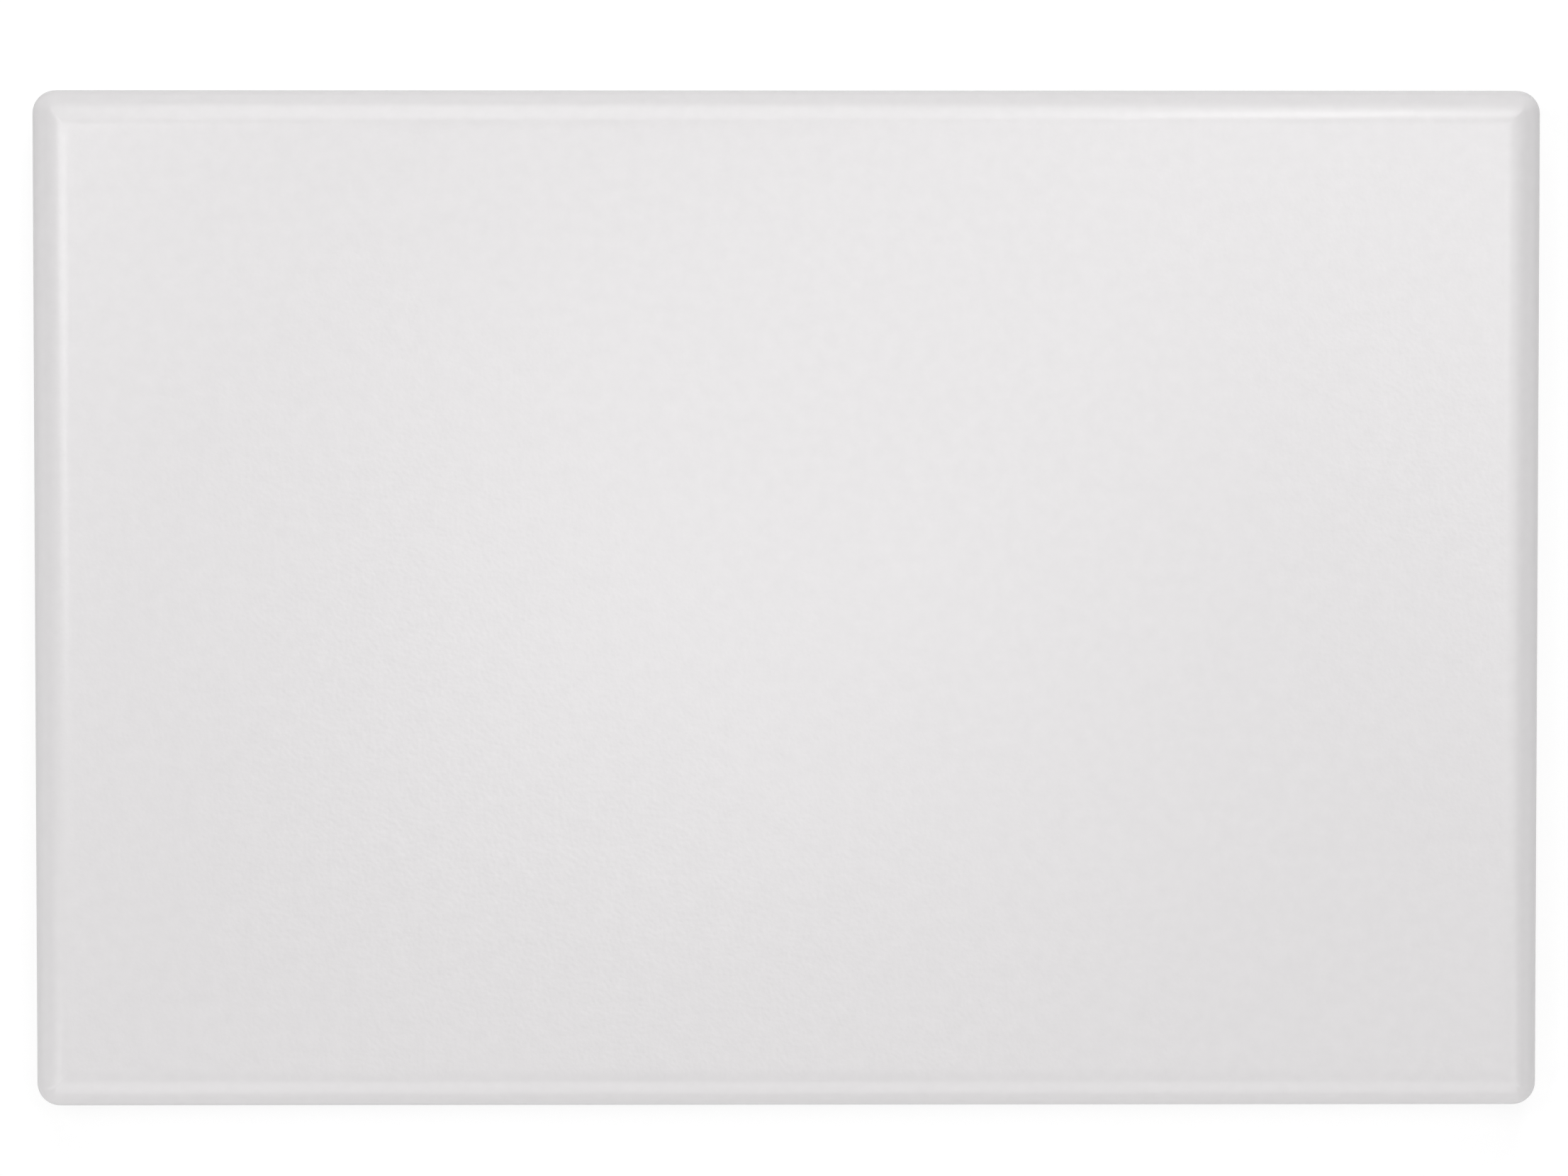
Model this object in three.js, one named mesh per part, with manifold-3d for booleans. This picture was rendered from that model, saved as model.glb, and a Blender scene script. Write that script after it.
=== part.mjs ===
// A plain cutting board: one solid slab of white polyethylene, with its rim rounded over all the way round.
// Millimetres, +Z up. The origin is at the centre of the underside, X runs along the long side.
import * as THREE from "three";
import { mergeVertices } from "three/addons/utils/BufferGeometryUtils.js";
import Module from "manifold-3d";

// Driving dimensions
const LENGTH = 450; // along X
const WIDTH = 304; // along Y
const THICKNESS = 25; // along Z
const RIM_RADIUS = 12; // round-over of the rim, the same on the top and the underside
const CORNER_RADIUS = 7; // radius of the four corners, seen from above

// How finely the round parts are faceted
const OUTER_ARC_STEPS = 12; // on the part of the round-over that still turns the corners
const INNER_ARC_STEPS = 6; // on the part that meets in hips
const CORNER_STEPS = 10; // round each quarter turn of a corner
const SAME_PLACE = 1e-6; // points closer than this are one point

// Seen from the side, the round-over is a quarter circle. Its first part, up to this angle, lies less than the
// corner radius in from the outline, so there the corners are still round. Past it, two sides meet in a hip.
const HIP_ANGLE = Math.acos(1 - CORNER_RADIUS / RIM_RADIUS);
const RIGHT_ANGLE = Math.PI / 2;

const wasm = await Module();
wasm.setup();

function solidFrom(geometry) {
  const bare = geometry.clone();
  bare.deleteAttribute("normal");
  bare.deleteAttribute("uv");
  const merged = mergeVertices(bare);
  const mesh = new wasm.Mesh({
    numProp: 3,
    vertProperties: new Float32Array(merged.attributes.position.array),
    triVerts: new Uint32Array(merged.index.array),
  });
  return new wasm.Manifold(mesh);
}

function geometryFrom(solid) {
  const mesh = solid.getMesh();
  const geometry = new THREE.BufferGeometry();
  geometry.setAttribute("position", new THREE.BufferAttribute(mesh.vertProperties, 3));
  geometry.setIndex(new THREE.BufferAttribute(mesh.triVerts, 1));
  geometry.computeVertexNormals();
  return geometry;
}

// One side of the rim, from the underside round to the top: x is measured from the outline, y is the height.
function rimPoints() {
  const rim = [];
  const arc = (centreHeight, from, to, steps) => {
    const curve = new THREE.EllipseCurve(-RIM_RADIUS, centreHeight, RIM_RADIUS, RIM_RADIUS, from, to);
    rim.push(...curve.getPoints(steps));
  };
  arc(RIM_RADIUS, -RIGHT_ANGLE, -HIP_ANGLE, INNER_ARC_STEPS);
  arc(RIM_RADIUS, -HIP_ANGLE, 0, OUTER_ARC_STEPS);
  arc(THICKNESS - RIM_RADIUS, 0, HIP_ANGLE, OUTER_ARC_STEPS);
  arc(THICKNESS - RIM_RADIUS, HIP_ANGLE, RIGHT_ANGLE, INNER_ARC_STEPS);
  const isNew = (point, i) => i === 0 || point.distanceTo(rim[i - 1]) > SAME_PLACE;
  return rim.filter(isNew);
}

// The cross-section of the board over one of its spans.
function sectionShape(span) {
  const right = rimPoints().map((point) => new THREE.Vector2(span / 2 + point.x, point.y));
  const left = right.map((point) => new THREE.Vector2(-point.x, point.y)).reverse();
  return new THREE.Shape([...right, ...left]);
}

// A bar of that cross-section, as long as the other span, lying along Y.
function bar(span, length) {
  const geometry = new THREE.ExtrudeGeometry(sectionShape(span), { depth: length, bevelEnabled: false });
  geometry.translate(0, 0, -length / 2);
  geometry.rotateX(RIGHT_ANGLE);
  return geometry;
}

// The outline without its four corner squares, as a prism that stands out above and below the board.
function crossPrism() {
  const margin = THICKNESS;
  const outerX = LENGTH / 2;
  const outerY = WIDTH / 2;
  const innerX = outerX - CORNER_RADIUS;
  const innerY = outerY - CORNER_RADIUS;
  const quarter = [
    [outerX, innerY],
    [innerX, innerY],
    [innerX, outerY],
  ];
  const turned = (signX, signY) => quarter.map(([x, y]) => new THREE.Vector2(signX * x, signY * y));
  const outline = [
    ...turned(1, 1),
    ...turned(-1, 1).reverse(),
    ...turned(-1, -1),
    ...turned(1, -1).reverse(),
  ];
  const geometry = new THREE.ExtrudeGeometry(new THREE.Shape(outline), {
    depth: THICKNESS + 2 * margin,
    bevelEnabled: false,
  });
  geometry.translate(0, 0, -margin);
  return geometry;
}

// The round corner: the outer part of the rim, turned about the centre of the corner's own arc.
function cornerTurning() {
  const profile = rimPoints()
    .map((point) => new THREE.Vector2(CORNER_RADIUS + point.x, point.y))
    .filter((point) => point.x > -SAME_PLACE)
    .map((point) => new THREE.Vector2(Math.max(point.x, 0), point.y));
  const wholeTurnSteps = 4 * CORNER_STEPS;
  const geometry = new THREE.LatheGeometry(profile, wholeTurnSteps);
  geometry.rotateX(RIGHT_ANGLE);
  return geometry;
}

function boardGeometry() {
  const alongY = solidFrom(bar(LENGTH, WIDTH));
  const alongX = solidFrom(bar(WIDTH, LENGTH).rotateZ(RIGHT_ANGLE));
  let board = alongX.intersect(alongY).intersect(solidFrom(crossPrism()));
  for (const signX of [-1, 1]) {
    for (const signY of [-1, 1]) {
      const corner = cornerTurning();
      corner.translate(signX * (LENGTH / 2 - CORNER_RADIUS), signY * (WIDTH / 2 - CORNER_RADIUS), 0);
      board = board.add(solidFrom(corner));
    }
  }
  return geometryFrom(board);
}

const whitePolyethylene = new THREE.MeshStandardMaterial({
  name: "white_polyethylene",
  color: new THREE.Color(0.82, 0.81, 0.81),
  roughness: 0.5,
  metalness: 0,
});

const board = new THREE.Mesh(boardGeometry(), whitePolyethylene);
board.name = "board";

const group = new THREE.Group();
group.name = "cutting_board";
group.add(board);

export default group;
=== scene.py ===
"""A plain cutting board of white polyethylene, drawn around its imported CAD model. Metres, +Z up."""
import math

import bpy
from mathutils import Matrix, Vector, noise


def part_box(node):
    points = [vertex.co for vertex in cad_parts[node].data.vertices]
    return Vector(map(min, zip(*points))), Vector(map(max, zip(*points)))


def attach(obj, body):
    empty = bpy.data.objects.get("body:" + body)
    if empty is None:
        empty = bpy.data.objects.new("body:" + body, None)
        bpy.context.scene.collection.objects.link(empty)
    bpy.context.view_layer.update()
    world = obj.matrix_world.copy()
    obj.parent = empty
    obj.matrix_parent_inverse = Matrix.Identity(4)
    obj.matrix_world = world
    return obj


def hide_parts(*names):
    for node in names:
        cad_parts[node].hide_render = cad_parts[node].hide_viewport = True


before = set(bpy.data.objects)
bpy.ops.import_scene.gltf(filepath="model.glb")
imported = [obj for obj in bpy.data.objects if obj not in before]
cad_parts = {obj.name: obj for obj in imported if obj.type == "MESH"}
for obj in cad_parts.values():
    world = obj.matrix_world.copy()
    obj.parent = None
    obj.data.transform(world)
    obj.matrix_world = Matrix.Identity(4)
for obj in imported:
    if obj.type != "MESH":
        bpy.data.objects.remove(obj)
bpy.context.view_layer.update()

MM = 0.001
QUARTER_TURN = math.pi / 2

# The board's size comes from its CAD node, and its rim and corners are the CAD model's
board_low, board_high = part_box("board")
HALF_LENGTH = (board_high.x - board_low.x) / 2
HALF_WIDTH = (board_high.y - board_low.y) / 2
THICKNESS = board_high.z - board_low.z
RIM_RADIUS = 12 * MM
CORNER_RADIUS = 7 * MM
HIP_RADIUS = 0.5 * MM  # the hips, where two sides of the rim meet, are scraped this round
GRAIN_FADE = 8  # the higher, the sooner the faces' grain dies away down the rim

# How finely the mesh is divided
ARC_STEPS = 24  # round each quarter circle of the rim
CORNER_STEPS = 12  # round each quarter turn of a corner
GRID_STEP = 4 * MM  # between the lines of the grid on each face
SUPPORT_LOOP = 0.3 * MM  # a loop this far inside the rim keeps the shading of the flat part flat

# The faces of a sheet of plastic are never dead flat, so they are slightly hollow in places
HOLLOW_DEPTH = 0.1 * MM
HOLLOW_LENGTH = 70 * MM
HOLLOW_MARGIN = 25 * MM  # next to the rim the hollows die away over this width
HOLLOW_LAYER = 7  # the two faces take their hollows from far apart in the noise


def smooth_step(value):
    value = min(max(value, 0), 1)
    return value * value * (3 - 2 * value)


def hollow(x, y, side):
    """How far the face on this side of the board lies below dead flat at a point."""
    from_rim = min(HALF_LENGTH - abs(x), HALF_WIDTH - abs(y)) - RIM_RADIUS
    place = Vector((x / HOLLOW_LENGTH, y / HOLLOW_LENGTH, HOLLOW_LAYER * side))
    swell = (1 + noise.noise(place)) / 2
    return HOLLOW_DEPTH * swell * smooth_step(from_rim / HOLLOW_MARGIN)


def rim_levels():
    """The rim's section from the underside to the top: (inset from the outline, height, flatness, girth).

    Flatness is 1 on the faces and fades to 0 on the rim. Girth is the distance round the section."""
    girth = 2 * RIM_RADIUS * QUARTER_TURN + THICKNESS - 2 * RIM_RADIUS
    lower = []
    upper = []
    for step in range(ARC_STEPS + 1):
        angle = QUARTER_TURN * step / ARC_STEPS
        inset = RIM_RADIUS * (1 - math.sin(angle))
        rise = RIM_RADIUS * (1 - math.cos(angle))
        flatness = math.cos(angle) ** GRAIN_FADE
        along = RIM_RADIUS * angle
        lower.append((inset, rise, flatness, along))
        upper.append((inset, THICKNESS - rise, flatness, girth - along))
    loop = RIM_RADIUS + SUPPORT_LOOP
    underside_loop = (loop, 0, 1, -SUPPORT_LOOP)
    top_loop = (loop, THICKNESS, 1, girth + SUPPORT_LOOP)
    return [underside_loop, *lower, *reversed(upper), top_loop]


def spread(count, half_span):
    """Even places from one end of a side to the other."""
    return [half_span * (2 * i / count - 1) for i in range(count + 1)]


class BoardMesh:
    """Vertices and faces of the board: loops round the rim, joined to a grid on each face."""

    def __init__(self):
        self.columns = round(2 * HALF_LENGTH / GRID_STEP)
        self.rows = round(2 * HALF_WIDTH / GRID_STEP)
        self.points = []
        self.flatness = []
        self.girth = []
        self.faces = []

    def add_point(self, x, y, z, flatness, girth):
        self.points.append((x, y, z))
        self.flatness.append(flatness)
        self.girth.append(girth)
        return len(self.points) - 1

    def add_face(self, corners):
        """A quad, or a triangle where two of its corners are the same vertex."""
        kept = [corner for i, corner in enumerate(corners) if corner != corners[i - 1]]
        if len(kept) > 2:
            self.faces.append(kept)

    def rim_loop(self, inset, height, flatness, girth):
        """One loop round the rim, anticlockwise from above, from the lower end of the +X side."""
        radius = max(CORNER_RADIUS - inset, HIP_RADIUS)
        reach_x = HALF_LENGTH - inset
        reach_y = HALF_WIDTH - inset
        loop = []
        for quarter in range(4):
            # Each side and the corner after it are laid out as if the side faced +X, then turned into place
            end_side = quarter % 2 == 0
            reach, across = (reach_x, reach_y) if end_side else (reach_y, reach_x)
            span = across - radius
            outline = [(reach, place) for place in spread(self.rows if end_side else self.columns, span)]
            for step in range(1, CORNER_STEPS):
                angle = QUARTER_TURN * step / CORNER_STEPS
                outline.append((reach - radius + radius * math.cos(angle), span + radius * math.sin(angle)))
            cos, sin = [(1, 0), (0, 1), (-1, 0), (0, -1)][quarter]
            for u, v in outline:
                loop.append(self.add_point(u * cos - v * sin, u * sin + v * cos, height, flatness, girth))
        return loop

    def face_grid(self, height, side):
        """The grid on one face, as vertices by column and row. Side is 1 on the top and -1 underneath."""
        margin = RIM_RADIUS + SUPPORT_LOOP + HIP_RADIUS
        grid = []
        for x in spread(self.columns, HALF_LENGTH - margin):
            column = []
            for y in spread(self.rows, HALF_WIDTH - margin):
                column.append(self.add_point(x, y, height - side * hollow(x, y, side), 1, 0))
            grid.append(column)
        for left, right in zip(grid, grid[1:]):
            for j in range(self.rows):
                corners = [left[j], right[j], right[j + 1], left[j + 1]]
                self.add_face(corners[::side])
        return grid

    def grid_loop(self, grid):
        """The border of a grid as a loop that matches a rim loop: each corner's arc is one vertex."""
        transposed = list(zip(*grid))
        sides = [grid[-1], transposed[-1][::-1], grid[0][::-1], transposed[0]]
        loop = []
        for vertices in sides:
            loop.extend(vertices)
            loop.extend([vertices[-1]] * (CORNER_STEPS - 1))
        return loop

    def build(self):
        rim = [self.rim_loop(*level) for level in rim_levels()]
        underside = self.grid_loop(self.face_grid(0, -1))
        top = self.grid_loop(self.face_grid(THICKNESS, 1))
        loops = [underside, *rim, top]
        for lower, upper in zip(loops, loops[1:]):
            for i in range(len(lower)):
                self.add_face([lower[i - 1], lower[i], upper[i], upper[i - 1]])
        mesh = bpy.data.meshes.new("board_slab")
        mesh.from_pydata(self.points, [], self.faces)
        for name, values in (("flatness", self.flatness), ("girth", self.girth)):
            mesh.attributes.new(name, "FLOAT", "POINT").data.foreach_set("value", values)
        mesh.shade_smooth()
        return mesh


class Material:
    """A material with a short way to add nodes and join them to its one shader."""

    def __init__(self, name):
        self.made = bpy.data.materials.new(name)
        self.made.use_nodes = True
        self.tree = self.made.node_tree
        self.shader = self.tree.nodes["Principled BSDF"]

    def fill(self, node, sockets):
        for name, value in sockets.items():
            if isinstance(value, bpy.types.NodeSocket):
                self.tree.links.new(value, node.inputs[name])
            else:
                node.inputs[name].default_value = value

    def add(self, kind, sockets, **settings):
        node = self.tree.nodes.new(kind)
        for name, value in settings.items():
            setattr(node, name, value)
        self.fill(node, sockets)
        return node

    def attribute(self, name):
        return self.add("ShaderNodeAttribute", {}, attribute_name=name).outputs["Fac"]

    def noise(self, place, size, detail=2.0):
        """Noise from 0 to 1 whose lumps are about this size, in metres."""
        sockets = {"Vector": place, "Scale": 1 / size, "Detail": detail}
        return self.add("ShaderNodeTexNoise", sockets).outputs["Fac"]

    def math(self, operation, *values):
        return self.add("ShaderNodeMath", dict(enumerate(values)), operation=operation).outputs[0]

    def blend(self, share, low, high):
        """From low to high, numbers or other sockets, as share goes from 0 to 1."""
        sockets = {"Value": share, "To Min": low, "To Max": high}
        return self.add("ShaderNodeMapRange", sockets).outputs["Result"]

    def blend_colour(self, share, low, high):
        """The same for colours, whose sockets on the node are known by number."""
        colour_a, colour_b, colour_result = 6, 7, 2
        sockets = {"Factor": share, colour_a: low, colour_b: high}
        return self.add("ShaderNodeMix", sockets, data_type="RGBA").outputs[colour_result]


# White polyethylene
PEBBLE_SIZE = 1.4 * MM  # the moulded grain of the faces
PEBBLE_HEIGHT = 0.045 * MM
PEBBLE_CELLS = 0.5  # the share of round cells in the grain, which is soft noise otherwise
TOOL_LINE_SIZE = 0.8 * MM  # the fine lines that the router leaves along the rim
TOOL_LINE_LENGTH = 60 * MM
TOOL_LINE_HEIGHT = 0.0006 * MM
MOTTLE_SIZE = 4 * MM  # faint patches a little lighter or darker than the rest
MOTTLE_DETAIL = 3.0
CLOUD_SIZE = 60 * MM  # slow changes in sheen over the sheet
WHITE_LIGHT = (0.840, 0.823, 0.830, 1)
WHITE_DARK = (0.790, 0.774, 0.781, 1)
FACE_ROUGHNESS = (0.21, 0.27)
RIM_ROUGHNESS = (0.20, 0.26)
PLASTIC_IOR = 1.54


def white_polyethylene():
    """Satin white plastic: fine moulded grain on the two faces, and a smoother rim with faint tool lines."""
    plastic = Material("polyethylene")
    place = plastic.add("ShaderNodeTexCoord", {}).outputs["Object"]
    flatness = plastic.attribute("flatness")

    # Soft pebbles, some of them run together
    pebbles = plastic.noise(place, PEBBLE_SIZE)
    cell_sockets = {"Vector": place, "Scale": 1 / PEBBLE_SIZE}
    cells = plastic.add("ShaderNodeTexVoronoi", cell_sockets, feature="SMOOTH_F1")
    grain = plastic.math("MULTIPLY_ADD", cells.outputs["Distance"], PEBBLE_CELLS, pebbles)

    # Lines that run along the rim: noise that changes fast round the section and slowly along it
    axes = plastic.add("ShaderNodeSeparateXYZ", {"Vector": place})
    stretch = TOOL_LINE_SIZE / TOOL_LINE_LENGTH
    along_x = plastic.math("MULTIPLY", axes.outputs["X"], stretch)
    along_y = plastic.math("MULTIPLY", axes.outputs["Y"], stretch)
    girth = plastic.attribute("girth")
    ribbon = plastic.add("ShaderNodeCombineXYZ", {"X": along_x, "Y": along_y, "Z": girth})
    tool_lines = plastic.noise(ribbon.outputs["Vector"], TOOL_LINE_SIZE)

    mottle = plastic.noise(place, MOTTLE_SIZE, detail=MOTTLE_DETAIL)
    face_roughness = plastic.blend(plastic.noise(place, CLOUD_SIZE), *FACE_ROUGHNESS)
    rim_roughness = plastic.blend(tool_lines, *RIM_ROUGHNESS)
    rim_height = plastic.math("MULTIPLY", tool_lines, TOOL_LINE_HEIGHT / PEBBLE_HEIGHT)
    height = plastic.blend(flatness, rim_height, grain)
    bump = plastic.add("ShaderNodeBump", {"Height": height, "Distance": PEBBLE_HEIGHT, "Strength": 1.0})
    plastic.fill(plastic.shader, {
        "Base Color": plastic.blend_colour(mottle, WHITE_DARK, WHITE_LIGHT),
        "Roughness": plastic.blend(flatness, rim_roughness, face_roughness),
        "Normal": bump.outputs["Normal"],
        "IOR": PLASTIC_IOR,
    })
    return plastic.made


# The studio's floor. It glows, so it stays white right up to the board
FLOOR_REACH = 6  # from its middle to its edges, in metres
FLOOR_WHITE = 0.3
FLOOR_ROUGHNESS = 0.9
FLOOR_GLOW = 0.75
FLOOR_BOUNCE = 0.45  # what the glow is for the board, so that the foot of the rim isn't too bright


def floor_white():
    """Studio white, which looks bright but throws less light on the board."""
    floor = Material("floor_white")
    is_seen = floor.add("ShaderNodeLightPath", {}).outputs["Is Camera Ray"]
    floor.fill(floor.shader, {
        "Base Color": (FLOOR_WHITE, FLOOR_WHITE, FLOOR_WHITE, 1),
        "Roughness": FLOOR_ROUGHNESS,
        "Specular IOR Level": 0.0,
        "Emission Color": (1, 1, 1, 1),
        "Emission Strength": floor.blend(is_seen, FLOOR_BOUNCE, FLOOR_GLOW),
    })
    return floor.made


# The studio's walls and sky
SKY_STRENGTH = 0.02  # overhead
WALL_STRENGTH = 0.78  # round the horizon, as bright as the far floor, so that no edge shows between them
WALL_FADE = (0.07, 0.12)  # the wall fades into the dark above between these sines of the elevation

# Each softbox faces the middle of the board from this far. Its row is: name, degrees clockwise from
# the board's far side, degrees up, width and height in metres, and watts
LIGHT_DISTANCE = 1.7
SOFTBOXES = (
    ("left", 295, 60, 0.8, 0.8, 6.5),
    ("right", 90, 55, 0.5, 1.0, 2.0),
    ("back", 0, 35, 1.0, 1.4, 10.0),
    ("back_right", 15, 40, 0.1, 0.6, 1.5),
    ("key", 45, 70, 1.0, 0.6, 4.5),
    ("overhead", 0, 90, 0.5, 0.5, 2.0),
    ("front", 185, 25, 1.5, 1.1, 8.0),
    ("low_left", 245, 25, 0.5, 1.2, 5.5),
    ("low_right", 120, 30, 0.8, 0.8, 5.0),
)

# High over the board and a little towards its far side, leaning 2 degrees back to the near side
CAMERA_PLACE = (-0.011, 0.054, 1.5)
CAMERA_LEAN = (-1.95, -0.39, 0)  # degrees about X, Y and Z
LENS = 114
SENSOR_WIDTH = 36


def make_board():
    board = bpy.data.objects.new("board_slab", BoardMesh().build())
    bpy.context.scene.collection.objects.link(board)
    board.data.materials.append(white_polyethylene())
    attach(board, "root")
    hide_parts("board")


def make_floor():
    reach = FLOOR_REACH
    corners = [(-reach, -reach, 0), (reach, -reach, 0), (reach, reach, 0), (-reach, reach, 0)]
    mesh = bpy.data.meshes.new("floor")
    mesh.from_pydata(corners, [], [(0, 1, 2, 3)])
    mesh.materials.append(floor_white())
    floor = bpy.data.objects.new("floor", mesh)
    bpy.context.scene.collection.objects.link(floor)


def make_world():
    """A white studio: a pale wall all round, which fades into a darker space above."""
    world = bpy.data.worlds.new("studio")
    world.use_nodes = True
    nodes = world.node_tree.nodes
    links = world.node_tree.links
    direction = nodes.new("ShaderNodeTexCoord").outputs["Generated"]
    axes = nodes.new("ShaderNodeSeparateXYZ")
    links.new(direction, axes.inputs["Vector"])
    fade = nodes.new("ShaderNodeMapRange")
    fade.interpolation_type = "SMOOTHSTEP"
    links.new(axes.outputs["Z"], fade.inputs["Value"])
    fade.inputs["From Min"].default_value = WALL_FADE[0]
    fade.inputs["From Max"].default_value = WALL_FADE[1]
    fade.inputs["To Min"].default_value = WALL_STRENGTH
    fade.inputs["To Max"].default_value = SKY_STRENGTH
    background = nodes["Background"]
    background.inputs["Color"].default_value = (1, 1, 1, 1)
    links.new(fade.outputs["Result"], background.inputs["Strength"])
    bpy.context.scene.world = world


def make_light(name, azimuth, elevation, width, height, power):
    """A softbox that faces the middle of the board. Its height runs up and down its own slope."""
    data = bpy.data.lights.new(name, "AREA")
    data.shape = "RECTANGLE"
    data.size = width
    data.size_y = height
    data.energy = power
    light = bpy.data.objects.new(name, data)
    turn = math.radians(azimuth)
    climb = math.radians(elevation)
    towards = Vector((math.sin(turn) * math.cos(climb), math.cos(turn) * math.cos(climb), math.sin(climb)))
    light.location = LIGHT_DISTANCE * towards
    light.rotation_euler = (-towards).to_track_quat("-Z", "Y").to_euler()
    light.visible_camera = False
    bpy.context.scene.collection.objects.link(light)


def make_camera():
    data = bpy.data.cameras.new("camera")
    data.sensor_width = SENSOR_WIDTH
    data.lens = LENS
    camera = bpy.data.objects.new("camera", data)
    camera.location = CAMERA_PLACE
    camera.rotation_euler = [math.radians(angle) for angle in CAMERA_LEAN]
    bpy.context.scene.collection.objects.link(camera)
    bpy.context.scene.camera = camera


make_camera()
make_board()
make_floor()
make_world()
for softbox in SOFTBOXES:
    make_light(*softbox)
bpy.context.scene.view_settings.view_transform = "Standard"
